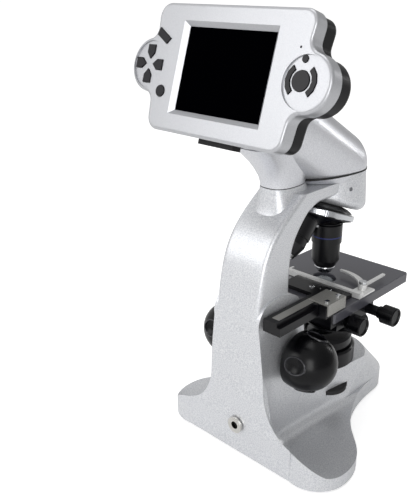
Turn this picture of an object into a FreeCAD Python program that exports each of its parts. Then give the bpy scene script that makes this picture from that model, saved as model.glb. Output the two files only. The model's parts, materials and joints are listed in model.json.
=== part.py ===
import FreeCAD, Part
import Sketcher
import math
import os
from FreeCAD import Placement, Rotation, Vector

# Upright monocular microscope with a screen head in place of the eyepiece.
# X runs to the right of the person at the screen, Y away from them towards the stage, Z up.
# The optical axis stands at X = 0 and at Y = axis_y; Z = 0 is the table.

doc = FreeCAD.newDocument("Microscope")
sheet = doc.addObject("Spreadsheet::Sheet", "Dims")
rows = []


class Size:
    """A length or an angle of the sheet, or sizes put together."""

    def __init__(self, value, text):
        self.value = value
        self.text = text

    def __add__(self, other):
        return Size(self.value + number(other), "(%s + %s)" % (self.text, words(other)))

    def __radd__(self, other):
        return Size(number(other) + self.value, "(%s + %s)" % (words(other), self.text))

    def __sub__(self, other):
        return Size(self.value - number(other), "(%s - %s)" % (self.text, words(other)))

    def __rsub__(self, other):
        return Size(number(other) - self.value, "(%s - %s)" % (words(other), self.text))

    def __mul__(self, other):
        return Size(self.value * number(other), "(%s * %s)" % (self.text, words(other)))

    def __rmul__(self, other):
        return Size(self.value * number(other), "(%s * %s)" % (words(other), self.text))

    def __truediv__(self, other):
        return Size(self.value / number(other), "(%s / %s)" % (self.text, words(other)))

    def __neg__(self):
        return Size(-self.value, "(0 - %s)" % self.text)


def number(item):
    return item.value if isinstance(item, Size) else float(item)


def words(item):
    return item.text if isinstance(item, Size) else ("%.6g" % item)


def size(name, value, note):
    rows.append(name)
    line = len(rows)
    sheet.set("A%d" % line, note)
    sheet.set("B%d" % line, "%.6g" % value)
    sheet.setAlias("B%d" % line, name)
    return Size(float(sheet.getContents("B%d" % line)), "Dims." + name)


# Sizes of the stand
axis_y = size("axis_y", 32.2, "optical axis from the middle of the overall depth")
gap = size("gap", 0.3, "gap round parts that only sit side by side")
run = size("run", 0.05, "radial running clearance")
foot_h = size("foot_h", 2.0, "base above the table")
rear_y = size("rear_y", -106.0, "rear face of the base")
lobe_x = size("lobe_x", 83.0, "half width over the rear lobes")
nose_y = size("nose_y", 44.0, "centre of the nose round at the table")
nose_r = size("nose_r", 32.0, "nose round")
pod_h = size("pod_h", 46.0, "top of the lamp pod")
pod_y = size("pod_y", 12.0, "centre of the pod round at the top")
arm_w = size("arm_w", 40.0, "width of the arm")
arm_top = size("arm_top", 206.7, "top of the arm under the neck")
case_w = size("case_w", 42.8, "width over the focus cheeks at their top")
seam_z = size("seam_z", 212.5, "seam of the swivel head")
dome_r = size("dome_r", 26.6, "radius of the head at its seam")
snout_r = size("snout_r", 29.5, "radius of the arm's snout at the bottom")
light_r = size("light_r", 8.0, "light bore")
slide_w = size("slide_w", 30.0, "width of the stage slide")
slide_y = size("slide_y", -62.6, "rear face of the stage slide")
slide_d = size("slide_d", 12.0, "depth of the stage slide")
focus_y = size("focus_y", -72.0, "focus axis")
focus_z = size("focus_z", 84.0, "focus axis above the table")
shaft_r = size("shaft_r", 4.0, "focus shaft radius")
knob_r = size("knob_r", 22.0, "focus knob radius")
knob_x = size("knob_x", 27.5, "inner face of a focus knob")
knob_l = size("knob_l", 34.0, "length of a focus knob")
plate_t = size("plate_t", 2.0, "base cover thickness")
foot_r = size("foot_r", 7.0, "rubber foot radius")
jack_z = size("jack_z", 27.6, "supply socket above the table")
jack_r = size("jack_r", 4.5, "supply socket barrel radius")
pin_r = size("pin_r", 1.0, "supply socket pin radius")
wheel_r = size("wheel_r", 16.0, "brightness wheel radius")
wheel_x = size("wheel_x", 18.0, "brightness wheel axis from the middle")
wheel_y = size("wheel_y", -11.0, "brightness wheel axis")
wheel_z = size("wheel_z", 26.0, "brightness wheel bottom")
wheel_t = size("wheel_t", 4.0, "brightness wheel thickness")

# Sizes of the lamp and of the stage
lamp_r = size("lamp_r", 29.5, "lamp housing radius")
lamp_h = size("lamp_h", 25.0, "lamp housing height")
lens_r = size("lens_r", 15.0, "lamp lens radius")
stage_w = size("stage_w", 91.0, "stage width")
stage_z = size("stage_z", 117.6, "top of the stage")
stage_t = size("stage_t", 8.0, "stage thickness")
stage_far = size("stage_far", 57.6, "far edge of the stage from the optical axis")
stage_near = size("stage_near", 52.0, "near edge of the stage from the optical axis")
hole_r = size("hole_r", 10.0, "hole in the stage")
cond_r = size("cond_r", 21.0, "condenser mount radius")
cond_h = size("cond_h", 14.0, "condenser mount height")
disc_r = size("disc_r", 26.0, "diaphragm disc radius")
disc_x = size("disc_x", 15.0, "diaphragm disc axis from the optical axis")
rail_x = size("rail_x", 23.2, "inner side of the long slide of the mechanical stage")
rail_w = size("rail_w", 15.0, "width of the long slide")
rail_y = size("rail_y", -107.0, "near end of the long slide")
rail_end = size("rail_end", -32.0, "far end of the long slide")
rail_top = size("rail_top", 127.5, "top of the long slide")
lift = size("lift", 0.4, "long slide above the stage")
bar_y = size("bar_y", -13.0, "edge the glass slide rests against")
bar_t = size("bar_t", 4.0, "holder bar thickness")
bar_h = size("bar_h", 4.4, "holder bar height")
bar_left = size("bar_left", -28.0, "left end of the holder bar")
bar_right = size("bar_right", 45.0, "right end of the holder bar")
post_x = size("post_x", 38.0, "finger post across")
post_y = size("post_y", -2.0, "finger post along")
post_r = size("post_r", 3.0, "finger post radius")
drive_z = size("drive_z", 102.5, "axes of the two cross knobs")
drive_far = size("drive_far", 3.0, "axis of the far cross knob")
drive_near = size("drive_near", -28.0, "axis of the near cross knob")
drive_r = size("drive_r", 2.5, "cross knob shaft radius")
grip_r = size("grip_r", 7.6, "cross knob radius")
grip_l = size("grip_l", 15.0, "cross knob length")

# Sizes of the nosepiece
turret_tilt = size("turret_tilt", 20.0, "tilt of the nosepiece, degrees")
turret_r = size("turret_r", 27.5, "nosepiece ring radius")
port_r = size("port_r", 17.0, "ports from the nosepiece axis")
port_z = size("port_z", 168.0, "seat of the objective in use")
thread_r = size("thread_r", 8.0, "objective thread radius")

# Sizes of the screen head
screen_y = size("screen_y", -128.2, "face of the screen")
screen_z = size("screen_z", 295.2, "middle of the screen above the table")
screen_tilt = size("screen_tilt", 17.0, "lean of the screen, degrees")
hood_pitch = size("hood_pitch", 30.0, "rise of the hood, degrees")
hood_z = size("hood_z", 215.0, "hood axis at the optical axis")
hood_r = size("hood_r", 26.9, "hood radius")
view_w = size("view_w", 71.0, "display width, 3.5 inch 4:3")
view_h = size("view_h", 53.3, "display height")
bezel_t = size("bezel_t", 10.0, "depth of the silver front shell")
shell_t = size("shell_t", 14.0, "depth of the black rear shell")
panel_top = size("panel_top", 40.5, "top edge above the display's middle")
panel_low = size("panel_low", -41.5, "bottom edge below the display's middle")
wide_top = size("wide_top", 64.0, "half width at the top")
wide_low = size("wide_low", 56.5, "half width at the bottom")
ear_x = size("ear_x", 63.5, "centre of a side round")
ear_r = size("ear_r", 17.75, "radius of a side round")
dish_r = size("dish_r", 15.6, "radius of the dish in a side round")
dish_d = size("dish_d", 1.2, "depth of that dish")
key_out = size("key_out", 0.8, "keys above the dish floor")
key_gap = size("key_gap", 0.35, "gap round a key")
key_throw = size("key_throw", 0.6, "key travel")
doc.recompute()


def plane(body, role):
    for item in body.Origin.OriginFeatures:
        if item.Role == role:
            return item


def sketch(body, name, role, height=0):
    drawn = body.newObject("Sketcher::SketchObject", name)
    drawn.AttachmentSupport = [(plane(body, role), "")]
    drawn.MapMode = "FlatFace"
    drawn.AttachmentOffset = Placement(Vector(0, 0, number(height)), Rotation())
    if isinstance(height, Size):
        drawn.setExpression("AttachmentOffset.Base.z", height.text)
    return drawn


def bind(drawn, kind, place, amount):
    """One distance of a point from the sketch's origin."""
    if abs(number(amount)) < 1e-9 and not isinstance(amount, Size):
        drawn.addConstraint(Sketcher.Constraint("PointOnObject", place[0], place[1], -2 if kind == "DistanceX" else -1))
        return
    index = drawn.addConstraint(Sketcher.Constraint(kind, place[0], place[1], number(amount)))
    if isinstance(amount, Size):
        drawn.setExpression("Constraints[%d]" % index, amount.text)


def outline(drawn, points):
    """A closed outline of straight sides."""
    count = len(points)
    first = drawn.GeometryCount
    for i, point in enumerate(points):
        after = points[(i + 1) % count]
        start = Vector(number(point[0]), number(point[1]), 0)
        end = Vector(number(after[0]), number(after[1]), 0)
        drawn.addGeometry(Part.LineSegment(start, end), False)
    for i in range(count):
        drawn.addConstraint(Sketcher.Constraint("Coincident", first + i, 2, first + (i + 1) % count, 1))
    for i, point in enumerate(points):
        bind(drawn, "DistanceX", (first + i, 1), point[0])
        bind(drawn, "DistanceY", (first + i, 1), point[1])
    return drawn


def rect(drawn, left, right, low, high):
    return outline(drawn, [(left, low), (right, low), (right, high), (left, high)])


def ring(drawn, x, y, radius):
    index = drawn.GeometryCount
    round_line = Part.Circle(Vector(number(x), number(y), 0), Vector(0, 0, 1), number(radius))
    drawn.addGeometry(round_line, False)
    bind(drawn, "DistanceX", (index, 3), x)
    bind(drawn, "DistanceY", (index, 3), y)
    kept = drawn.addConstraint(Sketcher.Constraint("Radius", index, number(radius)))
    if isinstance(radius, Size):
        drawn.setExpression("Constraints[%d]" % kept, radius.text)
    return drawn


def new_body(name):
    body = doc.addObject("PartDesign::Body", name)
    body.Label = name
    return body


def pad(body, drawn, length):
    made = body.newObject("PartDesign::Pad", "Pad")
    made.Profile = drawn
    made.Length = number(length)
    if isinstance(length, Size):
        made.setExpression("Length", length.text)
    drawn.Visibility = False
    body.Tip = made
    return made


def pocket(body, drawn, length, reverse=False):
    made = body.newObject("PartDesign::Pocket", "Pocket")
    made.Profile = drawn
    made.Length = number(length)
    made.Reversed = reverse
    if isinstance(length, Size):
        made.setExpression("Length", length.text)
    body.Tip = made
    return made


def turned(body, drawn, axis="V_Axis"):
    made = body.newObject("PartDesign::Revolution", "Turned")
    made.Profile = drawn
    made.ReferenceAxis = (drawn, [axis])
    made.Angle = 360
    body.Tip = made
    return made


def soften(body, radius, chosen, kind="Fillet"):
    """Rounds or chamfers the edges that the test picks."""
    doc.recompute()
    base = body.Tip
    names = ["Edge%d" % (i + 1) for i, edge in enumerate(base.Shape.Edges) if chosen(edge)]
    made = body.newObject("PartDesign::" + kind, kind)
    made.Base = (base, names)
    if kind == "Fillet":
        made.Radius = number(radius)
        if isinstance(radius, Size):
            made.setExpression("Radius", radius.text)
    else:
        made.Size = number(radius)
        if isinstance(radius, Size):
            made.setExpression("Size", radius.text)
    body.Tip = made
    return made


def drum(name, profile):
    """A part turned about a vertical axis, given as radius and height pairs."""
    body = new_body(name)
    turned(body, outline(sketch(body, name + "_section", "XZ_Plane"), profile))
    return body


def spindle(name, profile):
    """A part turned about an axis along X, given as length and radius pairs."""
    body = new_body(name)
    turned(body, outline(sketch(body, name + "_section", "XZ_Plane"), profile), "H_Axis")
    return body


def put(item, x=0, y=0, z=0, lean=None):
    """Sets a part down, with the frame's own shift along Y."""
    y = y + axis_y
    turn = Rotation(Vector(1, 0, 0), -number(lean)) if lean is not None else Rotation()
    item.Placement = Placement(Vector(number(x), number(y), number(z)), turn)
    for path, amount in (("x", x), ("y", y), ("z", z)):
        if isinstance(amount, Size):
            item.setExpression("Placement.Base." + path, amount.text)
    return item


def shaped(name, shape):
    item = doc.addObject("Part::Feature", name)
    item.Label = name
    item.Shape = shape
    return item


def level(edge, z):
    return all(abs(v.Point.z - number(z)) < 0.01 for v in edge.Vertexes)


def upright(edge):
    ends = [v.Point for v in edge.Vertexes]
    flat = len(ends) == 2 and abs(ends[0].x - ends[1].x) < 0.01 and abs(ends[0].y - ends[1].y) < 0.01
    return flat and edge.Curve.TypeId == "Part::GeomLine"


def deep(edge):
    ends = [v.Point for v in edge.Vertexes]
    flat = len(ends) == 2 and abs(ends[0].x - ends[1].x) < 0.01 and abs(ends[0].z - ends[1].z) < 0.01
    return flat and edge.Curve.TypeId == "Part::GeomLine"


nodes = []


def curve(points, plane_name, at):
    """A smooth line through points of the plane at the given distance."""
    if plane_name == "YZ":
        places = [Vector(at, p[0], p[1]) for p in points]
    elif plane_name == "XZ":
        places = [Vector(p[0], at, p[1]) for p in points]
    else:
        places = [Vector(p[0], p[1], at) for p in points]
    line = Part.BSplineCurve()
    line.interpolate(places)
    return line.toShape()


def side(a, b):
    return Part.makeLine(Vector(*a), Vector(*b))


def mirrored(shape):
    return shape.mirror(Vector(0, 0, 0), Vector(1, 0, 0))


# The painted casting: base with two scooped lobes, lamp pod, focus cheeks, arm and snout
low = foot_h.value
half_arm = arm_w.value / 2
neck = arm_top.value
bend = (-109.4, 116)
arm_back = [bend, (-109.2, 127), (-106.5, 149), (-98.5, 173), (-86, 188.6), (-73.5, 199), (-63, neck)]
arm_front = [(-22, 196.4), (-34, 196.2), (-45, 195), (-54.5, 190.4), (-62.2, 182.5),
             (-68.4, 173.5), (-72, 161.5), (-73, 149), (-72.8, 134)]
arm_line = Part.Wire([
    curve(arm_back, "YZ", -half_arm),
    side((-half_arm, -63, neck), (-half_arm, -10, neck)),
    side((-half_arm, -10, neck), (-half_arm, -22, 196.4)),
    curve(arm_front, "YZ", -half_arm),
    side((-half_arm, -72.8, 134), (-half_arm, -72.8, low)),
    side((-half_arm, -72.8, low), (-half_arm, rear_y.value, low)),
    side((-half_arm, rear_y.value, low), (-half_arm, bend[0], bend[1]))])
arm = Part.Face(arm_line).extrude(Vector(arm_w.value, 0, 0))

cheek_line = [bend, (-108.4, 126), (-102, 133.6), (-88, 136.6), (-74, 134.3), (-63.5, 128), (-57.5, 116),
              (-55.5, 98), (-53, 80), (-48, 63), (-40, 51), (-30, pod_h.value)]
cheek_wire = Part.Wire([
    curve(cheek_line, "YZ", -34),
    side((-34, -30, pod_h.value), (-34, -30, low)),
    side((-34, -30, low), (-34, rear_y.value, low)),
    side((-34, rear_y.value, low), (-34, bend[0], bend[1]))])
cheeks = Part.Face(cheek_wire).extrude(Vector(68, 0, 0))

plan_right = [(52, rear_y.value), (72, -101.5), (81.5, -88.5), (lobe_x.value, -74), (80, -61), (71, -46.5),
              (57, -31), (45.5, -15), (37.6, 3), (33.6, 22), (nose_r.value, nose_y.value)]


def base_plan(height):
    right = curve(plan_right, "XY", height)
    left = mirrored(right)
    front = Part.Arc(Vector(nose_r.value, nose_y.value, height),
                     Vector(0, nose_y.value + nose_r.value, height),
                     Vector(-nose_r.value, nose_y.value, height)).toShape()
    rear = side((-52, rear_y.value, height), (52, rear_y.value, height))
    return Part.Wire([rear, right, front, left])


def pod_plan(height, middle, radius):
    front = Part.Arc(Vector(radius, middle, height), Vector(0, middle + radius, height),
                     Vector(-radius, middle, height)).toShape()
    return Part.Wire([side((-radius, -80, height), (radius, -80, height)),
                      side((radius, -80, height), (radius, middle, height)), front,
                      side((-radius, middle, height), (-radius, -80, height))])


sill = 16.0
sole = Part.Face(base_plan(low))
flange = sole.extrude(Vector(0, 0, sill - low))
skirt_room = Part.makeBox(200, 66, 60, Vector(-100, rear_y.value - 6, low))
skirt = sole.extrude(Vector(0, 0, 58)).common(skirt_room)
lean_back = (bend[0] - rear_y.value) / (bend[1] - low)
rear_wall = Part.Face(Part.makePolygon([
    Vector(-52, rear_y.value, low), Vector(-52, -60, low), Vector(-52, -60, 58),
    Vector(-52, rear_y.value + lean_back * (58 - low), 58), Vector(-52, rear_y.value, low)]))
rear_wall = rear_wall.extrude(Vector(104, 0, 0))
pod = Part.makeLoft([pod_plan(sill, nose_y.value, nose_r.value),
                     pod_plan(pod_h.value, pod_y.value, nose_r.value + 1)], True)

# Each station is a section across the scoop: distance along Y, then the ridge and the floor
stations = [
    (-113, [(26.5, 78), (29.5, 62), (37, 49), (47, 41), (61, 35), (76, 31), (112, 26)]),
    (-106, [(25, 78), (26.4, 62), (31.3, 45), (39.6, 34.6), (53, 27.6), (66, 23.6), (112, 20)]),
    (-97, [(23.8, 56), (25, 40), (29, 28), (38, 19.5), (52, 15), (66, 13.6), (112, 22)]),
    (-86, [(23.2, 25), (24.6, 18), (29, 13), (38, 10.4), (52, 9.6), (66, 10), (112, 22)]),
    (-58, [(24, 22.5), (25.2, 17), (29, 12.6), (37, 10.2), (48, 9.4), (60, 9.8), (112, 21)]),
    (-24, [(27, 20.5), (28.2, 16), (31, 12.4), (36.5, 10.4), (44, 9.8), (54, 10), (112, 18)]),
    (10, [(33.4, 19.5), (34.4, 16.4), (36.4, 14), (40, 12.6), (46, 12), (56, 12), (112, 16)]),
    (44, [(38, 18), (39, 16.4), (41, 15), (44, 14.2), (50, 14), (60, 14), (112, 16)])]


def scoop_section(place, floor):
    top = 152
    inner = case_w.value / 2
    ridge = floor[0]
    return Part.Wire([
        side((inner, place, top), (inner, place, 117)),
        side((inner, place, 117), (ridge[0], place, ridge[1])),
        curve(floor, "XZ", place),
        side((112, place, floor[-1][1]), (112, place, top)),
        side((112, place, top), (inner, place, top))])


def eased(places, heights, at):
    """A value between stations on a curve that never swings past them."""
    span = max(i for i in range(len(places) - 1) if places[i] <= at + 1e-9)
    steps = [(heights[i + 1] - heights[i]) / (places[i + 1] - places[i]) for i in range(len(places) - 1)]

    def slope_at(i):
        if i == 0 or i == len(steps):
            return steps[min(i, len(steps) - 1)]
        before, after = steps[i - 1], steps[i]
        return 2 * before * after / (before + after) if before * after > 0 else 0

    wide = places[span + 1] - places[span]
    part_way = (at - places[span]) / wide
    start, end = heights[span], heights[span + 1]
    curve_in = part_way * part_way * (3 - 2 * part_way)
    pull = wide * part_way * (1 - part_way)
    return (start + (end - start) * curve_in
            + pull * ((1 - part_way) * slope_at(span) - part_way * slope_at(span + 1)))


def floor_at(place):
    along = [station[0] for station in stations]
    return [tuple(eased(along, [station[1][i][k] for station in stations], place) for k in (0, 1))
            for i in range(len(stations[0][1]))]


first_cut = stations[0][0]
last_cut = stations[-1][0]
cut_count = 20
cuts = [first_cut + (last_cut - first_cut) * i / cut_count for i in range(cut_count + 1)]
scoop = Part.makeLoft([scoop_section(place, floor_at(place)) for place in cuts], True)
snout = Part.makeCone(snout_r.value, dome_r.value, seam_z.value - 166, Vector(0, 0, 166))

tilt = math.radians(turret_tilt.value)
axis_up = Vector(0, math.sin(tilt), math.cos(tilt))
ring_mid = Vector(0, -port_r.value * math.cos(tilt), port_z.value + port_r.value * math.sin(tilt))
lean_turn = Rotation(Vector(1, 0, 0), -turret_tilt.value)
cap_top = 13.0
under = Part.makeBox(120, 120, 80, Vector(-60, -60, -80))
under.Placement = Placement(ring_mid + axis_up * cap_top, lean_turn)
snout = snout.cut(under)
rim_edges = [edge for edge in snout.Edges if edge.BoundBox.ZMax < seam_z.value - 5 and edge.BoundBox.XLength > 20]
snout = snout.makeFillet(7, rim_edges)
arm_edges = [edge for edge in arm.Edges if edge.BoundBox.XLength < 0.01 and edge.BoundBox.YMin < -72.9
             and edge.BoundBox.ZLength > 20]
arm = arm.makeFillet(4, arm_edges)

channel = Part.makeBox(slide_w.value + 2 * gap.value, 60, 100,
                       Vector(-slide_w.value / 2 - gap.value, slide_y.value - 2.4, 64))
shaft_bore = Part.makeCylinder(shaft_r.value + run.value, 80, Vector(-40, focus_y.value, focus_z.value),
                               Vector(1, 0, 0))
pinion_room = Part.makeCylinder(10.4, 20, Vector(-10, focus_y.value, focus_z.value), Vector(1, 0, 0))
light_bore = Part.makeCylinder(light_r.value, 60, Vector(0, 0, 165))
spigot_r = 14.0
spigot_l = 9.0
socket = Part.makeCylinder(spigot_r + run.value, spigot_l + gap.value, Vector(0, 0, seam_z.value - spigot_l - gap.value))
jack_bore = Part.makeCylinder(jack_r.value, 17.5, Vector(0, -112, jack_z.value), Vector(0, 1, 0))
wheel_room = Part.makeCylinder(wheel_r.value + 0.6, wheel_t.value + 2 * gap.value,
                               Vector(wheel_x.value, wheel_y.value, wheel_z.value - gap.value))
wheel_pin = Part.makeCylinder(2.0, wheel_t.value + 2 * gap.value + 0.2,
                              Vector(wheel_x.value, wheel_y.value, wheel_z.value - gap.value - 0.1))
lamp_room = Part.makeCylinder(20, 8, Vector(0, 0, pod_h.value - 8))
cover_points = [(-26, 62), (26, 62), (27, 8), (56, -52), (68, -74), (62, -96), (-62, -96), (-68, -74), (-56, -52), (-27, 8)]


def cover_face(grow, height):
    line = Part.makePolygon([Vector(p[0], p[1], height) for p in cover_points + cover_points[:1]])
    face = Part.Face(line)
    return face.makeOffset2D(grow, 0, False, False, False) if grow else face


cover_room = cover_face(gap.value, low).extrude(Vector(0, 0, plate_t.value))
turn_22 = math.radians(-22)
outward = Vector(math.cos(turn_22), math.sin(turn_22), 0)
lock_hole = Part.makeCylinder(1.6, 24, outward * 12 + Vector(0, 0, 201), outward)
pivot_hole = Part.makeCylinder(3.0, 12, ring_mid + axis_up * (cap_top - 1), axis_up)

feet_at = [(-58, -88), (58, -88), (-17, 52), (17, 52)]
casting = arm.fuse([cheeks, flange, skirt, rear_wall, pod])
casting = casting.cut([scoop, mirrored(scoop)])
casting = casting.fuse(snout).removeSplitter()
casting = casting.cut([channel, shaft_bore, pinion_room, light_bore, socket, jack_bore, wheel_room.cut(wheel_pin),
                       lamp_room, cover_room, lock_hole, pivot_hole])
stand_casting = shaped("stand_casting", casting)
put(stand_casting)
nodes.append(stand_casting)


def keep(item, x=0, y=0, z=0, lean=None):
    put(item, x, y, z, lean)
    nodes.append(item)
    return item


def rings(body, name, centres, radius, height, length):
    """Several round posts of one radius in one sketch."""
    drawn = sketch(body, name, "XY_Plane", height)
    for x, y in centres:
        ring(drawn, x, y, radius)
    return pad(body, drawn, length)


# Base cover, feet, socket, brightness wheel, lamp and set screw
cover = cover_face(0, low).extrude(Vector(0, 0, plate_t.value - 0.05))
keep(shaped("base_cover", cover))

feet = new_body("rubber_feet")
rings(feet, "feet_plan", feet_at, foot_r, 0, foot_h)
soften(feet, 0.6, lambda edge: level(edge, 0))
keep(feet)

jack_shell = new_body("jack_shell")
turned(jack_shell, outline(sketch(jack_shell, "jack_section", "XZ_Plane"), [
    (3.1, 0), (6.6, 0), (6.6, 1.6), (jack_r - gap / 2, 1.6), (jack_r - gap / 2, 12.5), (3.1, 12.5)]))
jack_insert = new_body("jack_insert")
turned(jack_insert, outline(sketch(jack_insert, "insert_section", "XZ_Plane"), [
    (0, 1.4), (pin_r, 1.4), (pin_r, 9), (3.1, 9), (3.1, 13.5), (0, 13.5)]))
for item in (jack_shell, jack_insert):
    keep(item, 0, -109.45, jack_z, Size(90, "90"))

brightness_wheel = new_body("brightness_wheel")
pad(brightness_wheel, ring(ring(sketch(brightness_wheel, "wheel_plan", "XY_Plane"), 0, 0, wheel_r),
                           0, 0, 2 + run), wheel_t)
soften(brightness_wheel, 0.5, lambda edge: level(edge, 0) or level(edge, wheel_t), "Chamfer")
keep(brightness_wheel, wheel_x, wheel_y, wheel_z)

lamp = drum("lamp_housing", [
    (lens_r + gap, 0), (lamp_r, 0), (lamp_r, 12.5), (lamp_r - 1.5, 14), (lamp_r - 5.5, 14), (lamp_r - 5.5, 16),
    (lamp_r - 3, 16), (lamp_r - 3, 22), (lamp_r - 5, lamp_h), (lens_r - 1.5, lamp_h), (lens_r - 1.5, 22.5),
    (lens_r + gap, 22.5)])
keep(lamp, 0, 0, pod_h)
lamp_lens = drum("lamp_lens", [(0, 17), (lens_r, 17), (lens_r, 22.4), (lens_r - 1.8, 22.4), (lens_r - 4, 23.8),
                               (lens_r - 9, 24.8), (0, 25.2)])
keep(lamp_lens, 0, 0, pod_h)
lamp_board = drum("lamp_board", [(0, -8), (18, -8), (18, -6.4), (4, -6.4), (4, -4), (0, -4)])
keep(lamp_board, 0, 0, pod_h)

lock_screw = shaped("lock_screw", Part.makeCylinder(1.5, 9.2, outward * 14.4 + Vector(0, 0, 201), outward))
keep(lock_screw)

# Focus drive
focus_shaft = spindle("focus_shaft", [(-52, 0), (52, 0), (52, shaft_r), (-52, shaft_r)])
keep(focus_shaft, 0, focus_y, focus_z)

tooth_count = 12
pinion = new_body("focus_pinion")
gear_plan = sketch(pinion, "gear_plan", "YZ_Plane", -5)
tooth_points = []
for i in range(tooth_count):
    for share, reach in ((-0.34, 6.4), (-0.11, 8.6), (0.11, 8.6), (0.34, 6.4)):
        angle = 2 * math.pi * (i + 0.5 + share) / tooth_count
        tooth_points.append((reach * math.cos(angle), reach * math.sin(angle)))
outline(gear_plan, tooth_points)
ring(gear_plan, 0, 0, shaft_r)
pad(pinion, gear_plan, 10)
keep(pinion, 0, focus_y, focus_z)


def knob_shape(hand):
    """A bell-shaped knob with finger dimples round its wide end."""
    start = knob_x.value
    top = knob_r.value
    line = Part.BSplineCurve()
    line.interpolate([Vector(start + 2, 0, top - 0.6), Vector(start + 8, 0, top), Vector(start + 17, 0, top - 1),
                      Vector(start + 25, 0, top - 5), Vector(start + 31, 0, top - 12),
                      Vector(start + knob_l.value, 0, 0)])
    section = Part.Wire([
        line.toShape(),
        side((start + knob_l.value, 0, 0), (start + 3, 0, 0)),
        side((start + 3, 0, 0), (start + 3, 0, 9)),
        side((start + 3, 0, 9), (start, 0, 9)),
        side((start, 0, 9), (start, 0, top - 2.6)),
        side((start, 0, top - 2.6), (start + 2, 0, top - 0.6))])
    solid = Part.Face(section).revolve(Vector(0, 0, 0), Vector(1, 0, 0), 360)
    bore = Part.makeCylinder(shaft_r.value, 30, Vector(22, 0, 0), Vector(1, 0, 0))
    solid = solid.cut(bore)
    for i in range(4):
        angle = math.radians(90 * i + 163)
        ball = Part.makeSphere(14, Vector(0, 0, 0))
        away = top + 11.0
        ball.translate(Vector(start + 14, away * math.cos(angle), away * math.sin(angle)))
        solid = solid.cut(ball)
    return solid if hand > 0 else mirrored(solid)


for name, hand in (("focus_knob_right", 1), ("focus_knob_left", -1)):
    keep(shaped(name, knob_shape(hand)), 0, focus_y, focus_z)

# Stage carrier: vertical slide with a shelf, rack, plate, condenser and diaphragm disc
carrier = new_body("stage_carrier")
half_slide = slide_w / 2
under_stage = stage_z - stage_t
pad(carrier, rect(sketch(carrier, "slide_plan", "XY_Plane", 72), -half_slide, half_slide, slide_y,
                  slide_y + slide_d), under_stage - 72)
pad(carrier, rect(sketch(carrier, "shelf_plan", "XY_Plane", under_stage - 9), -18, 18, slide_y + slide_d - 3.5, 6), 9)
pad(carrier, ring(sketch(carrier, "collar_plan", "XY_Plane", under_stage - 9), 0, 0, cond_r + 2), 9)
pocket(carrier, ring(sketch(carrier, "opening_plan", "XY_Plane", under_stage), 0, 0, 14), 12)
keep(carrier)

rack = new_body("focus_rack")
rack_points = [(slide_y, 73)]
pitch = 2 * math.pi * 7.7 / tooth_count
for i in range(-2, 5):
    middle = focus_z.value + i * pitch
    rack_points.extend([(slide_y - 0.6, middle - 0.3 * pitch), (slide_y - 2.0, middle - 0.12 * pitch),
                        (slide_y - 2.0, middle + 0.12 * pitch), (slide_y - 0.6, middle + 0.3 * pitch)])
rack_points.append((slide_y, 103))
pad(rack, outline(sketch(rack, "rack_side", "YZ_Plane", -4), rack_points), 8)
keep(rack)

plate = new_body("stage_plate")
pad(plate, rect(sketch(plate, "plate_plan", "XY_Plane", under_stage), -stage_w / 2, stage_w / 2,
                -stage_near, stage_far), stage_t)
soften(plate, 2.5, upright)
pocket(plate, ring(sketch(plate, "hole_plan", "XY_Plane", stage_z), 0, 0, hole_r), stage_t + 1)
soften(plate, 0.6, lambda edge: level(edge, stage_z), "Chamfer")
keep(plate)

condenser = drum("condenser_mount", [
    (13, -cond_h), (cond_r - 1.5, -cond_h), (cond_r, 1.5 - cond_h), (cond_r, -5), (cond_r - 3, -4), (cond_r - 3, 0),
    (13, 0)])
keep(condenser, 0, 0, under_stage - 9)
condenser_lens = drum("condenser_lens", [
    (0, -12), (12.9, -12), (12.9, -3), (10.5, 3), (9.2, 13), (6.5, 15.6), (0, 16.6)])
keep(condenser_lens, 0, 0, under_stage - 9)

diaphragm = new_body("diaphragm_disc")
disc_plan = ring(sketch(diaphragm, "disc_plan", "XY_Plane"), 0, 0, disc_r)
ring(disc_plan, 0, 0, 1.5 + run)
for i, hole in enumerate((7.0, 5.5, 4.2, 3.0, 2.0, 1.2)):
    angle = math.radians(180 + 60 * i)
    ring(disc_plan, disc_x * math.cos(angle), disc_x * math.sin(angle), hole)
pad(diaphragm, disc_plan, 1.5)
disc_z = under_stage - 9 - cond_h - 1.5 - gap
keep(diaphragm, disc_x, 0, disc_z)
disc_screw = drum("disc_screw", [(0, -1.9), (3.2, -1.9), (3.2, -gap), (1.5, -gap), (1.5, 1.5 + gap), (0, 1.5 + gap)])
keep(disc_screw, disc_x, 0, disc_z)

# Mechanical stage
guide = new_body("stage_guide")
pad(guide, rect(sketch(guide, "gear_box_plan", "XY_Plane", under_stage - 12), 24, 41, -40, 12), 12)
pad(guide, rect(sketch(guide, "under_link", "XY_Plane", under_stage - 3), 27, 45, -54.5, -39), 3)
pad(guide, rect(sketch(guide, "rear_link", "XY_Plane", under_stage - 3), 27, 45, -54.5, -stage_near - gap),
    stage_t + 3.1)
pad(guide, rect(sketch(guide, "rail_wall", "XY_Plane", stage_z), rail_x + rail_w + gap, 45, -62, -38),
    rail_top - stage_z + gap)
for place in (drive_far, drive_near):
    bore_plan = ring(sketch(guide, "drive_bore", "YZ_Plane", 60), place, drive_z, drive_r + run)
    pocket(guide, bore_plan, 34)
keep(guide)

vernier = new_body("vernier_plate")
vernier_z = rail_top + gap
pad(vernier, rect(sketch(vernier, "vernier_plan", "XY_Plane", vernier_z), 29, 46.2, -61, -38.6), 1.2)
pad(vernier, rect(sketch(vernier, "flange_plan", "XY_Plane", vernier_z - 8), 45.05, 46.2, -61, -38.6), 8.1)
keep(vernier)
vernier_screws = new_body("vernier_screws")
rings(vernier_screws, "vernier_heads", [(42, -57), (42, -43)], 1.9, vernier_z + 1.2, 1.2)
keep(vernier_screws)

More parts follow.
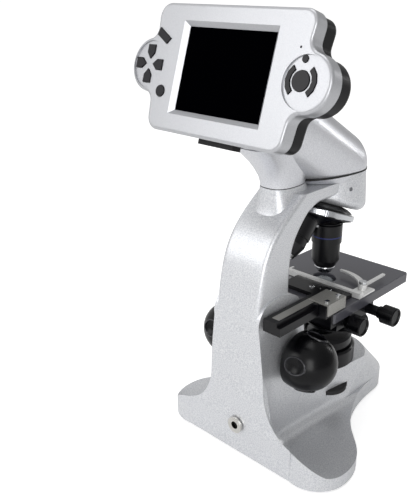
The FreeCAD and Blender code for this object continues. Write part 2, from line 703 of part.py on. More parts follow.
long_slide = new_body("long_slide")
rail_low = stage_z + lift
rail_out = rail_x + rail_w
pad(long_slide, rect(sketch(long_slide, "slide_rail", "XY_Plane", rail_low), rail_x, rail_out, rail_y, rail_end),
    rail_top - rail_low)
pad(long_slide, rect(sketch(long_slide, "cross_shelf", "XY_Plane", rail_low), -14, rail_out, -38, bar_y - bar_t - gap),
    3)
pocket(long_slide, rect(sketch(long_slide, "scale_seat", "XY_Plane", rail_top), rail_x + 3.5, rail_x + 10,
                        rail_y + 5, rail_end - 4), 0.6)
pocket(long_slide, rect(sketch(long_slide, "outer_step", "XY_Plane", rail_top), rail_out - 3, rail_out + 1,
                        rail_y - 1, -64), 3)
keep(long_slide)
scale = new_body("scale_strip")
pad(scale, rect(sketch(scale, "scale_plan", "XY_Plane", rail_top - 0.6), rail_x + 3.6, rail_x + 9.9, rail_y + 5.1,
                rail_end - 4.1), 0.7)
keep(scale)

holder = new_body("slide_holder")
bar_low = rail_low + 0.1
pad(holder, rect(sketch(holder, "bar_plan", "XY_Plane", bar_low), bar_left, bar_right, bar_y - bar_t, bar_y), bar_h)
pad(holder, rect(sketch(holder, "arm_plan", "XY_Plane", bar_low), 33, bar_right, bar_y - 1, 5), 1.6)
pad(holder, ring(sketch(holder, "post_plan", "XY_Plane", bar_low), post_x, post_y, post_r), 3.2)
pad(holder, ring(sketch(holder, "pivot_plan", "XY_Plane", bar_low), post_x, post_y, 1.5), 7.2)
pad(holder, rect(sketch(holder, "corner_plan", "XY_Plane", bar_low), bar_left, bar_left + 2, bar_y - 1, bar_y + 7), 3)
keep(holder)

finger_line = [(0, 4.2), (-7, 10.5), (-18, 15.5), (-30.5, 15.8), (-31, 14.2), (-19, 11.8), (-9, 6), (-3.6, -1)]
finger_flat = Part.Wire([curve(finger_line[:4], "XY", 0), side((-30.5, 15.8, 0), (-31, 14.2, 0)),
                         curve(finger_line[4:], "XY", 0), side((-3.6, -1, 0), (0, 4.2, 0))])
finger = Part.Face(finger_flat).extrude(Vector(0, 0, 1.6))
lever = Part.makeBox(2.6, 30, 1.6, Vector(-1.3, 2, 0))
hub = Part.makeCylinder(3.4, 3, Vector(0, 0, 0))
finger = finger.fuse([lever, hub]).cut(Part.makeCylinder(1.5 + run.value, 5, Vector(0, 0, -1))).removeSplitter()
keep(shaped("spring_finger", finger), post_x, post_y, bar_low + 3.2 + gap / 3)
post_cap = drum("finger_nut", [(0, 7.2), (1.5, 7.2), (1.5, 6.7), (3, 6.7), (3, 8.4), (0, 8.4)])
keep(post_cap, post_x, post_y, bar_low)

for name, start, end, place in (("far", 26, 52, drive_far), ("near", 26, 42.5, drive_near)):
    shaft = spindle(name + "_drive_shaft", [(start, 0), (end + 6, 0), (end + 6, drive_r), (start, drive_r)])
    keep(shaft, 0, place, drive_z)
    grip = spindle(name + "_drive_knob", [
        (end, drive_r), (end + 6, drive_r), (end + 6, 0), (end + grip_l - 1, 0), (end + grip_l - 1, grip_r - 2),
        (end + grip_l, grip_r - 1.4), (end + grip_l, grip_r - 0.7), (end + grip_l - 0.7, grip_r), (end + 4, grip_r),
        (end + 3, grip_r - 2.4), (end, grip_r - 2.6)])
    keep(grip, 0, place, drive_z)

# Nosepiece with three objectives and one open port
def on_nose(item):
    """Sets a part in the tilted frame of the nosepiece."""
    put(item, 0, Size(ring_mid.y, "%.6f" % ring_mid.y), Size(ring_mid.z, "%.6f" % ring_mid.z), turret_tilt)
    nodes.append(item)


cap = drum("nose_cap", [(3.2, 8.4), (turret_r - 1.6, 8.4), (turret_r - 2.6, 9.8), (turret_r - 6, 11.6),
                        (turret_r - 11, cap_top), (3.2, cap_top)])
on_nose(cap)
pivot = drum("nose_pivot", [(0, -7), (3.8, -7), (3.8, -5.4), (2.5, -5.4), (2.5, 9.5), (2.95, 9.5), (2.95, 20),
                            (0, 20)])
on_nose(pivot)
chrome = drum("nose_ring", [(turret_r - 3, 3.4), (turret_r, 3.4), (turret_r + 0.6, 4), (turret_r + 0.6, 7.4),
                            (turret_r, 8), (turret_r - 3, 8)])
notches = sketch(chrome, "notches", "XY_Plane", 9)
for i in range(4):
    angle = math.radians(45 + 90 * i)
    ring(notches, (turret_r + 1.2) * math.cos(angle), (turret_r + 1.2) * math.sin(angle), 1.8)
pocket(chrome, notches, 7)
on_nose(chrome)

slope = math.tan(tilt)
disc_low = -port_r.value * slope
rim = turret_r.value - 0.6
turret_shape = Part.Face(Part.makePolygon([
    Vector(2.55, 0, disc_low + 2.55 * slope), Vector(rim, 0, disc_low + rim * slope - 0.6),
    Vector(rim, 0, 3.4), Vector(rim - 2.4, 0, 3.4), Vector(rim - 2.4, 0, 8), Vector(2.55, 0, 8),
    Vector(2.55, 0, disc_low + 2.55 * slope)])).revolve(Vector(0, 0, 0), Vector(0, 0, 1), 360)
seat_turn = Rotation(Vector(1, 0, 0), turret_tilt.value)
for i in range(4):
    bore = Part.makeCylinder(thread_r.value, 40, Vector(0, 0, -20))
    bore.Placement = Placement(Vector(0, port_r.value, 0), seat_turn)
    bore.rotate(Vector(0, 0, 0), Vector(0, 0, 1), 90 * i)
    turret_shape = turret_shape.cut(bore)
on_nose(shaped("turret_disc", turret_shape))


def nose_place(turns):
    """The seat of one port in the part's frame."""
    seat = Placement(Vector(0, 0, port_z.value), Rotation())
    about = Placement(Vector(0, 0, 0), Rotation(axis_up, turns * 90.0), ring_mid)
    shifted = about.multiply(seat)
    return Placement(Vector(0, axis_y.value, 0), Rotation()).multiply(shifted)


def objective(number_of_port, power, radius, length, tip):
    barrel = drum("objective_" + power, [
        (5.6, -length), (tip, -length), (radius - 0.9, 9 - length), (radius - 0.9, -17.8), (radius, -17.8),
        (radius, -2.2), (radius - 1, -1.2), (radius - 1, -0.7), (thread_r - 0.1, -0.7), (thread_r - 0.1, 4),
        (5.6, 4)])
    front = drum("tip_" + power, [
        (0, -length - 1.4), (tip - 2.6, -length - 1.4), (tip - 2.2, -length - 2), (tip - 1, -length - 2),
        (tip, -length), (5.6, -length), (5.6, 3 - length), (0, 3 - length)])
    for item in (barrel, front):
        item.Placement = nose_place(number_of_port)
        nodes.append(item)


objective(0, "40x", 12.2, 42.0, 6.6)
objective(1, "4x", 11.6, 24.5, 8.4)
objective(2, "10x", 11.6, 33.0, 7.4)

# Swivel head: hood, camera, neck fairing and screen unit
slack = gap.value
rise = math.radians(hood_pitch.value)
hood_way = Vector(0, -math.cos(rise), math.sin(rise))
hood = Part.makeCylinder(hood_r.value, 165, Vector(0, 0, hood_z.value), hood_way)
hood = hood.fuse(Part.makeSphere(dome_r.value, Vector(0, 0, seam_z.value + slack)))
hood = hood.fuse(Part.makeSphere(hood_r.value, Vector(0, 0, hood_z.value)))

screen_turn = Rotation(Vector(1, 0, 0), -screen_tilt.value)
screen_place = Placement(Vector(0, screen_y.value, screen_z.value), screen_turn)
behind = bezel_t.value + shell_t.value
front_room = Part.makeBox(300, 200, 300, Vector(-150, -200 + behind, -150))
front_room.Placement = screen_place
neck_line = Part.makeLoft([
    Part.Wire(Part.makePolygon([Vector(-17, -62, neck), Vector(17, -62, neck), Vector(17, -29, neck),
                                Vector(-17, -29, neck), Vector(-17, -62, neck)])),
    Part.Wire(Part.makePolygon([Vector(-19.5, -76, 222), Vector(19.5, -76, 222), Vector(19.5, -30, 222),
                                Vector(-19.5, -30, 222), Vector(-19.5, -76, 222)])),
    Part.Wire(Part.makePolygon([Vector(-24, -101, 245), Vector(24, -101, 245), Vector(24, -34, 245),
                                Vector(-24, -34, 245), Vector(-24, -101, 245)]))], True)
neck_corners = [edge for edge in neck_line.Edges
                if abs(edge.Vertexes[0].Z - edge.Vertexes[-1].Z) > 10 and edge.Vertexes[0].Y < -50]
neck_line = neck_line.makeFillet(9, neck_corners)
swing_low = Part.makeBox(300, 300, 60, Vector(-150, -150, neck + slack - 60))
swing_core = Part.makeCylinder(dome_r.value + 1.2, 60, Vector(0, 0, seam_z.value + slack - 60))
below_seam = Part.makeBox(300, 300, 60, Vector(-150, -150, seam_z.value + slack - 60)).common(swing_core)

fairing = neck_line.cut([hood, swing_low, swing_core, front_room]).removeSplitter()
camera_room = Part.makeCylinder(13, 20, Vector(0, 0, seam_z.value))
spigot = Part.makeCylinder(spigot_r, spigot_l + 1, Vector(0, 0, seam_z.value - spigot_l))
hood = hood.cut([swing_low, swing_core, front_room])
hood = hood.fuse(spigot).cut([camera_room, Part.makeCylinder(light_r.value, 40, Vector(0, 0, 190))])
hood = hood.removeSplitter()
keep(shaped("head_hood", hood))
keep(shaped("neck_fairing", fairing))
camera = drum("camera_module", [(0, 9.5), (6, 9.5), (6, 0.2), (12.8, 0.2), (12.8, 16), (10, 17.5), (0, 17.5)])
keep(camera, 0, 0, seam_z)


def on_screen(item):
    return keep(item, 0, screen_y, screen_z, screen_tilt)


def panel(body, name, back, draw, depth):
    """Pads or cuts an outline of the screen unit, from its rear towards the person."""
    drawn = draw(sketch(body, name, "XZ_Plane", -back if isinstance(back, Size) else -float(back)))
    return pad(body, drawn, depth)


def case_outline(inset):
    return lambda drawn: outline(drawn, [
        (-wide_low + inset, panel_low + inset), (wide_low - inset, panel_low + inset),
        (wide_top - inset, panel_top - inset), (-wide_top + inset, panel_top - inset)])


def ear(hand, radius):
    return lambda drawn: ring(drawn, hand * ear_x, 0, radius)


def leaning(edge):
    """Edges that run from front to rear at the corners of the outline."""
    return deep(edge) and abs(edge.Vertexes[0].Point.z) > 30


def inner_corner(edge):
    """Edges where a side round meets the side of the outline."""
    ends = edge.Vertexes[0].Point
    return deep(edge) and abs(ends.z) < 20 and abs(ends.x) > 50


def in_front(edge):
    return all(abs(v.Point.y) < 0.01 for v in edge.Vertexes)


bezel = new_body("screen_bezel")
panel(bezel, "front_outline", bezel_t, case_outline(0), bezel_t)
soften(bezel, 9, leaning)
for hand in (-1, 1):
    panel(bezel, "ear_%d" % (hand + 1), bezel_t, ear(hand, ear_r), bezel_t)
soften(bezel, 7, inner_corner)
soften(bezel, 2.2, in_front)


def cut_panel(body, name, front, draw, depth):
    drawn = draw(sketch(body, name, "XZ_Plane", -front if isinstance(front, Size) else -float(front)))
    return pocket(body, drawn, depth)


def cut_back(body, name, start, draw, depth):
    drawn = draw(sketch(body, name, "XZ_Plane", -start if isinstance(start, Size) else -float(start)))
    return pocket(body, drawn, depth, True)


def window(w, h):
    return lambda drawn: rect(drawn, -w / 2, w / 2, -h / 2, h / 2)


lip = 3.4
cut_panel(bezel, "window", 0, window(view_w, view_h), 12)
soften(bezel, lip - 0.4, lambda edge: in_front(edge) and all(abs(v.Point.z) < 28 for v in edge.Vertexes)
       and abs(edge.CenterOfMass.x) < 40, "Chamfer")
for hand in (-1, 1):
    cut_panel(bezel, "dish_%d" % (hand + 1), 0, ear(hand, dish_r), dish_d)
    cut_back(bezel, "ear_room_%d" % (hand + 1), bezel_t, ear(hand, 14.6), bezel_t - lip)
cut_back(bezel, "module_room", bezel_t, lambda drawn: rect(drawn, -55, 55, -34, 34), bezel_t - lip)
cut_back(bezel, "menu_room", bezel_t, lambda drawn: rect(drawn, -61.4, -45, 12, 26), bezel_t - lip)
cut_panel(bezel, "signal_hole", 0, lambda drawn: ring(drawn, 56, 18.9, 0.8), 5)

pad_x = -65.4
reach = 12.4
half_key = 3.3
shoulder = 7.2
point_in = 3.4


def pentagon(angle, extra):
    """One key of the four-way pad, its point towards the middle of the pad."""
    turn = math.radians(angle)
    grow = number(extra)
    flat = [(reach + grow, -half_key - grow), (reach + grow, half_key + grow), (shoulder - grow, half_key + grow),
            (point_in - 1.3 * grow, 0), (shoulder - grow, -half_key - grow)]
    return [(pad_x + a * math.cos(turn) - b * math.sin(turn), 0.3 + a * math.sin(turn) + b * math.cos(turn))
            for a, b in flat]


def arc_key(middle, extra):
    """A curved key beside the large round one."""
    grow = number(extra)
    spread = 50 + grow * 6
    points = []
    for step in range(5):
        turn = math.radians(middle - spread + step * spread / 2)
        points.append((60 + (10.6 + grow) * math.cos(turn), 0.8 + (10.6 + grow) * math.sin(turn)))
    for step in range(5):
        turn = math.radians(middle + spread - step * spread / 2)
        points.append((60 + (7.6 - grow) * math.cos(turn), 0.8 + (7.6 - grow) * math.sin(turn)))
    return points


def menu_key(extra):
    grow = number(extra)
    return [(-60.8 - grow, 19.4 - 0.3 * grow), (-51.2 + 0.3 * grow, 13.9 - grow), (-47.8 + grow, 17.6),
            (-59.2, 24.1 + grow)]


def poly(points):
    return lambda drawn: outline(drawn, points)


def dot(x, y, radius):
    return lambda drawn: ring(drawn, x, y, radius)


floor = dish_d - key_out
key_l = 5.0
clear = key_gap.value
keys = [
    ("key_right", floor, poly(pentagon(0, 0)), poly(pentagon(0, clear))),
    ("key_up", floor, poly(pentagon(90, 0)), poly(pentagon(90, clear))),
    ("key_left", floor, poly(pentagon(180, 0)), poly(pentagon(180, clear))),
    ("key_down", floor, poly(pentagon(270, 0)), poly(pentagon(270, clear))),
    ("key_menu", -key_out, poly(menu_key(0)), poly(menu_key(clear))),
    ("key_power", -key_out, dot(-49, -16.4, 3.7), dot(-49, -16.4, 3.7 + key_gap)),
    ("key_enter", floor, dot(60, 0.8, 5.8), dot(60, 0.8, 5.8 + key_gap)),
    ("key_top", floor, dot(60, 12.9, 1.9), dot(60, 12.9, 1.9 + key_gap)),
    ("key_arc_left", floor, poly(arc_key(180, 0)), poly(arc_key(180, clear))),
    ("key_arc_right", floor, poly(arc_key(0, 0)), poly(arc_key(0, clear)))]
for name, front, drawn_key, drawn_hole in keys:
    cut_panel(bezel, name + "_hole", 0, drawn_hole, 9)
on_screen(bezel)
for name, front, drawn_key, drawn_hole in keys:
    key = new_body(name)
    panel(key, name + "_face", front + key_l, drawn_key, key_l)
    on_screen(key)

glass = new_body("screen_glass")
panel(glass, "glass_face", lip + 1.2, window(view_w + 4, view_h + 4), 1.15)
on_screen(glass)
module = new_body("display_module")
panel(module, "module_face", lip + 4.4, window(view_w + 7, view_h + 8), 3.15)
on_screen(module)

shell = new_body("rear_shell")
panel(shell, "shell_outline", behind, case_outline(1.2), shell_t)
soften(shell, 8, leaning)
for hand in (-1, 1):
    panel(shell, "shell_ear_%d" % (hand + 1), behind, ear(hand, ear_r - 1.2), shell_t)
soften(shell, 7, inner_corner)
soften(shell, 3.5, lambda edge: all(abs(v.Point.y - behind) < 0.01 for v in edge.Vertexes))
panel(shell, "shell_foot", behind - 1.5, lambda drawn: rect(drawn, -20, 10, panel_low - 3.4, panel_low + 4), 8)
on_screen(shell)

doc.recompute()
faults = [item.Name for item in doc.Objects if "Invalid" in item.State or "Error" in item.State]
faults += [item.Label for item in nodes if item.Shape.isNull() or not item.Shape.isValid()]
if faults:
    raise RuntimeError("not built: " + ", ".join(faults))
os.makedirs("parts", exist_ok=True)
for item in nodes:
    item.Shape.exportStep("parts/" + item.Label + ".step")
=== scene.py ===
import json
import math
import bmesh
import bpy
from mathutils import Matrix, Vector


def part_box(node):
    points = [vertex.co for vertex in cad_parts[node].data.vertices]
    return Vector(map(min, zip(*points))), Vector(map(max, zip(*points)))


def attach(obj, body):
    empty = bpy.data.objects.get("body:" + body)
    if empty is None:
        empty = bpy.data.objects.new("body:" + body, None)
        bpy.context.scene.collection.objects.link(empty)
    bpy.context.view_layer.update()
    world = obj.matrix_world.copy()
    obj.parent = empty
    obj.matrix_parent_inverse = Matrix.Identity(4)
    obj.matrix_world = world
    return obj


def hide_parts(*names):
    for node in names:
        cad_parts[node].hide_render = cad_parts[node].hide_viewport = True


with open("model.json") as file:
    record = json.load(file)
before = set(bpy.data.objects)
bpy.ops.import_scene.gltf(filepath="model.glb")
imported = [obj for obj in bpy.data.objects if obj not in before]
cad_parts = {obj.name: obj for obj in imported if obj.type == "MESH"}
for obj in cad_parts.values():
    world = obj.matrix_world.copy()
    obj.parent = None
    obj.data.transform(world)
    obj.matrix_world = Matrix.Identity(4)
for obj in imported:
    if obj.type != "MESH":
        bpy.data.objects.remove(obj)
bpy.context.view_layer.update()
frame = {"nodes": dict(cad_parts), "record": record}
nodes = frame["nodes"]
scene = bpy.context.scene

# Metres in a mm, the optical axis's place along Y in mm, and the least angle of a sharp edge
MM = 0.001
AXIS_Y = 32.2
SHARP_ANGLE = math.radians(35)

# Roughness of clear lacquer, and the noise values up to which a flake is dark and from which it is light
COAT_ROUGHNESS = 0.12
FLAKE_DARK = 0.36
FLAKE_LIGHT = 0.62


def colour(text):
    """Linear colour of an sRGB hex triple."""
    parts = [int(text[i:i + 2], 16) / 255 for i in (0, 2, 4)]
    return [c / 12.92 if c <= 0.04045 else ((c + 0.055) / 1.055) ** 2.4 for c in parts] + [1.0]


def add_node(tree, kind, links=None, **values):
    """One shader node, its socket values and what feeds its inputs."""
    made = tree.nodes.new(kind)
    for key, value in values.items():
        if hasattr(made, key):
            setattr(made, key, value)
        else:
            made.inputs[key.replace("_", " ")].default_value = value
    for key, source in (links or {}).items():
        tree.links.new(source, made.inputs[key])
    return made


def material(name, tint, rough, metal=0.0, coat=0.0, grain=None, bump=None, alpha=1.0, specular=0.5):
    """Principled finish; grain is (scale in mm, dark tint), bump is (scale in mm, depth in mm)."""
    made = bpy.data.materials.new(name)
    made.use_nodes = True
    tree = made.node_tree
    shader = tree.nodes["Principled BSDF"]
    shader.inputs["Base Color"].default_value = colour(tint)
    shader.inputs["Roughness"].default_value = rough
    shader.inputs["Metallic"].default_value = metal
    shader.inputs["Coat Weight"].default_value = coat
    shader.inputs["Coat Roughness"].default_value = COAT_ROUGHNESS
    shader.inputs["Specular IOR Level"].default_value = specular
    shader.inputs["Alpha"].default_value = alpha
    if grain or bump:
        place = add_node(tree, "ShaderNodeTexCoord").outputs["Object"]
    if grain:
        scale, dark = grain
        spread = add_node(tree, "ShaderNodeTexNoise", {"Vector": place}, Scale=1 / (scale * MM), Detail=2.0)
        ramp = add_node(tree, "ShaderNodeValToRGB", {"Fac": spread.outputs["Fac"]})
        for stop, at, shade in zip(ramp.color_ramp.elements, (FLAKE_DARK, FLAKE_LIGHT), (dark, tint)):
            stop.position = at
            stop.color = colour(shade)
        tree.links.new(ramp.outputs["Color"], shader.inputs["Base Color"])
    if bump:
        scale, depth = bump
        waves = add_node(tree, "ShaderNodeTexNoise", {"Vector": place}, Scale=1 / (scale * MM), Detail=2.0)
        relief = add_node(tree, "ShaderNodeBump", {"Height": waves.outputs["Fac"]}, Strength=1.0,
                          Distance=depth * MM)
        tree.links.new(relief.outputs["Normal"], shader.inputs["Normal"])
    return made


# Silver metal-flake stove enamel on the casting: grey sparkle and soft broad highlights.
# Its real flakes are about 0.05 mm and would be lost in the picture, so they are drawn 0.8 mm wide.
casting_enamel = material("silver_sparkle_paint", "E0E1E3", 0.37, 0.6, 0.2, grain=(0.8, "C3C5CA"),
                          bump=(0.9, 0.013))
# The same enamel, sprayed smoother on the swivel head: a clearer streak of light, its flakes drawn as wide
head_enamel = material("silver_head_paint", "DEDFE3", 0.3, 0.68, 0.3, grain=(0.8, "CDCED3"),
                       bump=(0.9, 0.006))
# Silver paint on the moulded screen frame: even and slightly darker, with hardly any grain
frame_paint = material("bezel_silver_paint", "B8B9BC", 0.32, 0.55, 0.15, grain=(0.5, "AFB0B4"))
# Finely textured black plastic of the rear shell and the socket: nearly black with a dull sheen
shell_plastic = material("shell_black_plastic", "08070A", 0.3, bump=(0.5, 0.01), specular=0.2)
# Polished black plastic of the knobs: black with soft round highlights
knob_plastic = material("gloss_black_plastic", "040406", 0.26, specular=0.22)
# The knobs' black plastic drawn lighter at the thin raised edges of the dimples: a painted highlight along
# the edges, which catch more light
dimple_rim_painted_highlight = material("black_rim_painted_highlight", "1C1C21", 0.22, specular=0.6)
# Satin black enamel on the nosepiece, objectives, lamp housing and guides: a faint long highlight
satin_enamel = material("satin_black_enamel", "0A0A0D", 0.28, specular=0.3)
# Black anodised aluminium of the stage, drawn dark grey: a painted reflection of the white surround laid
# over the black, and paler still where its gloss mirrors the surround
stage_painted_reflection = material("stage_painted_reflection", "46464D", 0.3, grain=(0.5, "3E3E45"), specular=0.8)
# Moulded rubber of the feet, the wheel and the dark joints: matt, almost without highlights
rubber = material("black_rubber", "1A1A1B", 0.7)
# Painted black sheet of the base cover: flat and dull
cover_sheet = material("black_sheet", "161617", 0.5)
# Plated and turned metals: mirror chrome, warm nickel, grey ground steel and yellow brass
chrome = material("bright_chrome", "D8DADD", 0.12, 1.0)
nickel = material("nickel_plate", "CFCDC8", 0.22, 1.0)
steel = material("ground_steel", "A9AAAC", 0.3, 1.0)
brass = material("machined_brass", "B39A5C", 0.3, 1.0)
# Satin aluminium of the slide holder: almost white with soft edges of light
holder_aluminium = material("satin_aluminium", "E2E2E1", 0.32, 0.45)
# Dull aluminium of the scale and vernier: warm mid grey, its fine marks merged into spots 0.4 mm wide
scale_aluminium = material("scale_aluminium", "A3A29E", 0.35, 0.5, grain=(0.4, "8E8D89"))
# Coated glass of the condenser's lens: pale grey, half seen through, with a sharp highlight
lens_glass = material("lens_glass", "A5ABB0", 0.05, 0.0, 0.5, alpha=0.55)
# Frosted glass over the lamp drawn black: painted shade over the glass, with a small bright glint
lamp_glass_painted_shade = material("lamp_glass_in_painted_shade", "0C0D10", 0.12, 0.0, 0.3)
# Green solder mask of the hidden circuit board
circuit = material("circuit_board", "1C5A38", 0.5)
# The unlit display: flat black, with no mirror image
display = material("dark_display", "010102", 0.5, specular=0.0)
# Three blacks of the moulded keys: each a little glossier and darker than the one before
key_satin = material("key_light_grey", "17161A", 0.3, specular=0.25)
key_soft_gloss = material("key_dark_grey", "121115", 0.28, specular=0.25)
key_gloss = material("key_black", "0B0A0D", 0.25, specular=0.25)
# Dark blue enamel of the thin ring that marks the strongest objective
blue_enamel = material("blue_ring_enamel", "1B2660", 0.5)

# The finish of each material slot of the record
finish = {
    "silver_paint": casting_enamel, "head_paint": head_enamel, "bezel_silver": frame_paint,
    "shell_black": shell_plastic, "socket_black": shell_plastic, "knob_black": knob_plastic,
    "black_paint": satin_enamel, "stage_black": stage_painted_reflection, "rubber": rubber, "wheel_black": rubber,
    "black_cover": cover_sheet, "chrome": chrome, "nickel": nickel, "steel": steel, "brass": brass,
    "satin_aluminium": holder_aluminium, "lens_glass": lens_glass, "circuit": circuit, "display": display,
    "key_white": key_satin, "key_grey": key_soft_gloss, "key_black": key_gloss}
for part in frame["record"]["subparts"]:
    slots = nodes[part["node"]].data.materials
    slots.clear()
    slots.append(finish[part["material_slot"]])
for node_name, own_finish in (("scale_strip", scale_aluminium), ("vernier_plate", scale_aluminium),
                              ("lamp_lens", lamp_glass_painted_shade)):
    nodes[node_name].data.materials[0] = own_finish


def seat(mesh, name, finish_used, body):
    """A new piece from a bmesh in the part's frame, riding on a body."""
    bmesh.ops.recalc_face_normals(mesh, faces=mesh.faces)
    data = bpy.data.meshes.new(name)
    mesh.to_mesh(data)
    mesh.free()
    data.shade_smooth()
    data.set_sharp_from_angle(angle=SHARP_ANGLE)
    item = bpy.data.objects.new(name, data)
    scene.collection.objects.link(item)
    item.data.materials.append(finish_used)
    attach(item, body)
    return item


def turned(profile, matrix, steps=72):
    """A closed profile of radius and height pairs in mm, spun about the local Z axis."""
    mesh = bmesh.new()
    corners = [mesh.verts.new(Vector((radius, 0, height)) * MM) for radius, height in profile]
    for i, corner in enumerate(corners):
        mesh.edges.new((corner, corners[(i + 1) % len(corners)]))
    bmesh.ops.spin(mesh, geom=mesh.verts[:] + mesh.edges[:], cent=(0, 0, 0), axis=(0, 0, 1),
                   angle=2 * math.pi, steps=steps, use_merge=True)
    bmesh.ops.remove_doubles(mesh, verts=mesh.verts, dist=1e-6)
    bmesh.ops.transform(mesh, matrix=matrix, verts=mesh.verts)
    return mesh


def ring_mesh(matrix, inner, outer, low, high):
    """A ring of rectangular section about the local Z axis, sizes in mm."""
    return turned([(inner, low), (outer, low), (outer, high), (inner, high)], matrix)


def column(name, finish_used, body, stations):
    """A rounded column through stations of height, half width, rear, front and squareness, in mm."""
    mesh = bmesh.new()
    bmesh.ops.create_circle(mesh, cap_ends=True, segments=96, radius=1.0)
    top = mesh.faces[:]
    for level in range(1, len(stations)):
        grown = bmesh.ops.extrude_face_region(mesh, geom=top)["geom"]
        raised = [g for g in grown if isinstance(g, bmesh.types.BMVert)]
        bmesh.ops.translate(mesh, vec=(0, 0, 1), verts=raised)
        if level > 1:
            bmesh.ops.delete(mesh, geom=top, context="FACES_ONLY")
        top = [g for g in grown if isinstance(g, bmesh.types.BMFace)]
    for vert in mesh.verts:
        height, half, rear, front, square = stations[round(vert.co.z)]
        x, y = (math.copysign(abs(c) ** (2 / square), c) for c in vert.co.xy)
        vert.co = Vector((half * x, AXIS_Y + (front + rear) / 2 + (front - rear) / 2 * y, height)) * MM
    return seat(mesh, name, finish_used, body)


# Dark joint under the round head: a ring that is drawn out behind the optical axis as the hood is
# there, and a little less for each mm higher up
seam_low, seam_middle, seam_high = 212.6, 213.1, 213.7
seam_stretch = 2.0
stretch_loss = 0.09
seam_loop = ring_mesh(Matrix.Translation(Vector((0, AXIS_Y, 0)) * MM), 25.2, 27.2, seam_low, seam_high)
for vert in seam_loop.verts:
    behind = vert.co.y - AXIS_Y * MM
    if behind < 0:
        stretch = seam_stretch - stretch_loss * (vert.co.z / MM - seam_middle)
        vert.co.y = AXIS_Y * MM + behind * stretch
seat(seam_loop, "dome_seam", rubber, "head")

# The rounded neck of the head, its dark joint, and the shoulder that the arm rises to meet it with
neck_foot = 211.7
neck_cover = column("neck_cover", head_enamel, "head", [
    (neck_foot, 12.6, -79.3, -42.5, 2.6), (214, 12.8, -79.6, -42.3, 2.6), (219, 13.6, -81.5, -41, 2.6),
    (225, 15.2, -85.5, -38, 2.7), (231, 17.2, -90.5, -34, 2.8), (238, 19.8, -98, -30, 3.0),
    (243, 21.5, -103, -28, 3.0)])
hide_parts("neck_fairing")
column("neck_seam", rubber, "head", [
    (neck_foot - 0.5, 12.3, -79, -42.8, 2.6), (neck_foot + 0.05, 12.3, -79, -42.8, 2.6)])
column("arm_shoulder", casting_enamel, "stand", [
    (182, 17.2, -86.5, -74, 2.8), (188, 16.8, -83.4, -64, 2.7), (195, 15.8, -81, -52, 2.6),
    (202, 14.6, -79.9, -42, 2.6), (207, 13.4, -79.5, -40.5, 2.6),
    (neck_foot - 0.6, 12.7, -79.5, -42.4, 2.6)])

# Colour ring and bright grip of the objective in use, measured from its seat on the nosepiece
seat_height = 168
seat_40x = Matrix.Translation(Vector((0, AXIS_Y, seat_height)) * MM)
seat(ring_mesh(seat_40x, 11.8, 12.3, -12.6, -11.6), "ring_40x", blue_enamel, "turret")
grip_profile = [(6.4, -42.05), (7.0, -42.05), (8.5, -39.3), (8.3, -38.6), (7.0, -38.6)]
seat(turned(grip_profile, seat_40x), "grip_40x", chrome, "turret")

# Raised edges of the four finger dimples in each focus knob. The knob's bell is widest at bell_middle
# along the focus axis and falls away from there by bell_fall times the distance squared. A dimple is
# narrower round the knob than along it, and the first stands at 163 degrees about the axis.
focus_y, focus_z = AXIS_Y - 72, 84
bell_r = 22.0
bell_middle = 35.5
bell_fall = 0.013
dimple_along = 41.5
dimple_r = 7.9
dimple_squeeze = 0.8
dimple_arc_r = 21.0
lip_r = 0.8
lip_angles = [math.pi * i / 4 for i in range(8)]
lip_profile = [(dimple_r + lip_r * math.cos(angle), lip_r * math.sin(angle)) for angle in lip_angles]
first_dimple = 163
dimples = 4


def dimple_rim(name, hand, angle):
    """The raised oval edge of one finger dimple, laid on the knob's bell."""
    mesh = turned(lip_profile, Matrix.Identity(4), 48)
    for vert in mesh.verts:
        x, y, z = vert.co / MM
        along = dimple_along + x
        out = bell_r - bell_fall * (along - bell_middle) ** 2 + z
        around = math.radians(angle) + dimple_squeeze * y / dimple_arc_r
        up, side = math.sin(around), math.cos(around)
        vert.co = Vector((hand * along, focus_y + out * side, focus_z + out * up)) * MM
    seat(mesh, name, dimple_rim_painted_highlight, "focus")


for side_name, hand in (("right", 1), ("left", -1)):
    for i in range(dimples):
        dimple_rim("dimple_rim_%s_%d" % (side_name, i), hand, first_dimple + 360 / dimples * i)

# Thick dark sleeves round the two drive shafts of the stage, from the stage's side to just short of
# the knobs, which sit on the last 6 mm of the shafts
sleeve_start = 33.0
knob_reach = 6.3
lying = Matrix.Rotation(math.radians(90), 4, "Y")
for drive in ("near", "far"):
    low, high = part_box(drive + "_drive_shaft")
    on_shaft = Matrix.Translation(Vector((0, (low[1] + high[1]) / 2, (low[2] + high[2]) / 2))) @ lying
    sleeve = ring_mesh(on_shaft, 2.52, 4.1, sleeve_start, high[0] / MM - knob_reach)
    seat(sleeve, drive + "_drive_sleeve", satin_enamel, drive + "_drive")

# Small bright screws of the mechanical stage, each with its place and the height it stands on
screw_profile = [(0.05, 0), (1.9, 0), (1.9, 0.7), (1.5, 1.1), (0.05, 1.1)]
screw_places = ((8.5, -29.0, 121.0), (17.5, -27.0, 121.0), (30.0, -37.0, 127.5))
for i, (x, y, low) in enumerate(screw_places):
    spot = Matrix.Translation(Vector((x, y + AXIS_Y, low)) * MM)
    seat(turned(screw_profile, spot, 24), "slide_screw_%d" % i, chrome, "long_way")

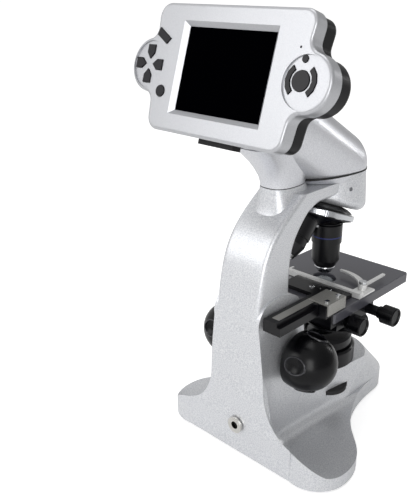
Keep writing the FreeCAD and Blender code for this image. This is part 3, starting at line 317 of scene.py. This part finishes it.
# Pale floor that the camera sees as white, with the object's own shadow on it
plane = bpy.data.meshes.new("floor")
shape = bmesh.new()
bmesh.ops.create_grid(shape, x_segments=1, y_segments=1, size=60.0)
shape.to_mesh(plane)
shape.free()
floor = bpy.data.objects.new("floor", plane)
scene.collection.objects.link(floor)
pale = material("pale_floor", "F4F4F4", 0.9, specular=0.0)
floor_glow = 0.5
tree = pale.node_tree
floor_shader = tree.nodes["Principled BSDF"]
floor_rays = add_node(tree, "ShaderNodeLightPath")
glow = add_node(tree, "ShaderNodeMath", {0: floor_rays.outputs["Is Camera Ray"]}, operation="MULTIPLY")
glow.inputs[1].default_value = floor_glow
floor_shader.inputs["Emission Color"].default_value = (1, 1, 1, 1)
tree.links.new(glow.outputs["Value"], floor_shader.inputs["Emission Strength"])
floor.data.materials.append(pale)

# White surround: it lights the silver more from the camera's left than from its right, which shades
# the forms, and the camera itself sees it as white all round
world = bpy.data.worlds.new("surround")
scene.world = world
world.use_nodes = True
sky = world.node_tree
bright_side = Vector((-0.55, -0.75, 0.35)).normalized()
way = add_node(sky, "ShaderNodeTexCoord").outputs["Generated"]
facing = add_node(sky, "ShaderNodeVectorMath", {0: way}, operation="DOT_PRODUCT")
facing.inputs[1].default_value = bright_side
strength = add_node(sky, "ShaderNodeMapRange", {"Value": facing.outputs["Value"]},
                    interpolation_type="SMOOTHSTEP", From_Min=-0.8, From_Max=0.8, To_Min=0.3, To_Max=0.8)
sky_rays = add_node(sky, "ShaderNodeLightPath")
seen = add_node(sky, "ShaderNodeMath", operation="MAXIMUM",
                links={0: strength.outputs["Result"], 1: sky_rays.outputs["Is Camera Ray"]})
background = sky.nodes["Background"]
background.inputs["Color"].default_value = (1, 1, 1, 1)
sky.links.new(seen.outputs["Value"], background.inputs["Strength"])


def light(name, place, target, width, height, power):
    """A white softbox at a place in metres, turned to a target, with sides in metres and power in watts."""
    lamp = bpy.data.lights.new(name, "AREA")
    lamp.shape = "RECTANGLE"
    lamp.size = width
    lamp.size_y = height
    lamp.energy = power
    item = bpy.data.objects.new(name, lamp)
    scene.collection.objects.link(item)
    item.location = place
    item.rotation_euler = (Vector(target) - Vector(place)).to_track_quat("-Z", "Y").to_euler()


# Four softboxes: a broad key on the camera's left, one above, a fill behind the camera that faces the
# object's right side, and a narrow strip beyond the object that gives the hood its streak
light("key", (-0.7, -1.3, 0.9), (0, 0, 0.18), 0.9, 0.9, 5.5)
light("top", (-0.1, 0.1, 1.4), (0, 0, 0.1), 0.7, 0.7, 3)
light("right", (0.85, -0.95, 0.5), (0, 0, 0.12), 0.5, 0.9, 6)
light("streak", (0.36, 1.28, 0.43), (0, 0, 0.26), 0.07, 0.4, 0.8)

# Camera found from the display, the stage and the optical axis: its turn and its dip in degrees, its
# focal length and the photograph's height in pixels, and its place
turn = math.radians(43.98)
dip = math.radians(21.82)
focal_pixels = 680.12
image_height = 500
sensor_height = 24.0
ahead = Vector((-math.sin(turn) * math.cos(dip), math.cos(turn) * math.cos(dip), -math.sin(dip)))
eye = Vector((289.55, -438.14 + AXIS_Y, 348.6)) * MM
view = bpy.data.cameras.new("camera")
view.sensor_fit = "VERTICAL"
view.sensor_height = sensor_height
view.lens = focal_pixels / image_height * sensor_height
view.clip_start = 0.01
view.clip_end = 20.0
camera = bpy.data.objects.new("camera", view)
scene.collection.objects.link(camera)
camera.location = eye
camera.rotation_euler = ahead.to_track_quat("-Z", "Y").to_euler()
scene.camera = camera
scene.view_settings.view_transform = "Standard"
